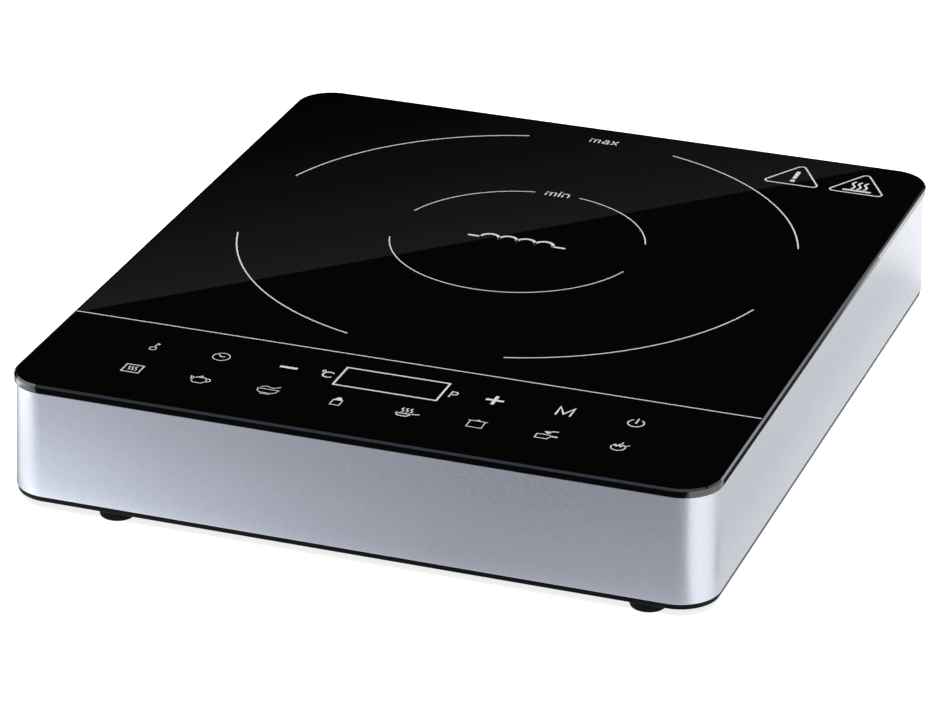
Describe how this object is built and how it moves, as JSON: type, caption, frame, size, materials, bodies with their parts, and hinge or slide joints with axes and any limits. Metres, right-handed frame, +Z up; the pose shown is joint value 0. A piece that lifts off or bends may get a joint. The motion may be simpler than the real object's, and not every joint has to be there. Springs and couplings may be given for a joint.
{
  "type": "induction hob",
  "caption": "Portable single-zone induction hob: black glass top with touch keys in a silver drafted side housing on a black tray with rubber feet; an internal cooling fan turns.",
  "frame": {"origin": "on the bench, under the middle of the hob's footprint", "axes": "+X to the user's right, +Y to the back, +Z up; the touch keys are at -Y"},
  "size_m": [0.321, 0.369, 0.0613],
  "materials": {
    "black_glass": "gloss",
    "silver_housing": "satin",
    "black_tray": "matte",
    "black_rubber": "matte",
    "clear_silicone": "satin",
    "label_foil": "satin",
    "bushing_plastic": "satin",
    "fan_plastic": "satin",
    "bronze": "satin",
    "lamination_steel": "satin",
    "copper_wire": "satin",
    "magnet": "matte",
    "shaft_steel": "gloss",
    "carrier_plastic": "matte",
    "ferrite": "matte",
    "mica": "satin",
    "ceramic_felt": "matte",
    "white_silicone": "matte",
    "thermistor": "gloss",
    "circuit_board": "satin",
    "sink_aluminium": "satin",
    "device_epoxy": "matte",
    "film_capacitor": "satin",
    "choke_core": "satin",
    "fuse_glass": "gloss",
    "varistor_blue": "gloss",
    "transformer_tape": "satin",
    "can_sleeve": "satin",
    "socket_nylon": "satin",
    "brass": "satin",
    "terminal_plastic": "satin",
    "conductive_foam": "matte",
    "display_face": "gloss",
    "lead_insulation": "satin",
    "ribbon": "satin",
    "screw_steel": "satin"
  },
  "bodies": {
    "hob": {"glass_plate": "black_glass", "side_housing": "silver_housing", "glass_adhesive": "clear_silicone", "base_tray": "black_tray", "rubber_feet": "black_rubber", "rating_plate": "label_foil", "cord_inlet_bushing": "bushing_plastic", "fan_frame": "fan_plastic", "fan_bearing": "bronze", "fan_stator_core": "lamination_steel", "fan_windings": "copper_wire", "coil_carrier": "carrier_plastic", "induction_coil": "copper_wire", "ferrite_bars": "ferrite", "mica_sheet": "mica", "ceramic_felt": "ceramic_felt", "sensor_holder": "white_silicone", "pan_thermistor": "thermistor", "power_board": "circuit_board", "heat_sink": "sink_aluminium", "power_transistor": "device_epoxy", "bridge_rectifier": "device_epoxy", "device_screws": "screw_steel", "link_capacitor": "film_capacitor", "resonant_capacitor": "film_capacitor", "filter_capacitor": "film_capacitor", "mains_terminal_block": "terminal_plastic", "choke_core": "choke_core", "choke_winding": "copper_wire", "fuse": "fuse_glass", "varistor": "varistor_blue", "supply_transformer": "transformer_tape", "electrolytic_capacitors": "can_sleeve", "buzzer": "device_epoxy", "lead_sockets": "socket_nylon", "coil_tabs": "brass", "panel_holder": "carrier_plastic", "control_board": "circuit_board", "touch_pads": "conductive_foam", "display_module": "display_face", "control_chip": "device_epoxy", "coil_leads": "lead_insulation", "fan_lead": "lead_insulation", "thermistor_lead": "lead_insulation", "ribbon_cable": "ribbon", "case_screws": "screw_steel", "board_screws": "screw_steel", "coil_screws": "screw_steel", "fan_screws": "screw_steel"},
    "fan_rotor": {"fan_impeller": "fan_plastic", "fan_magnet_ring": "magnet", "fan_shaft": "shaft_steel"}
  },
  "joints": [
    {"name": "fan_spin", "type": "hinge", "parent": "hob", "child": "fan_rotor", "pos_m": [-0.098, 0.088, 0.0225], "axis": [0, 0, 1], "continuous": true}
  ]
}
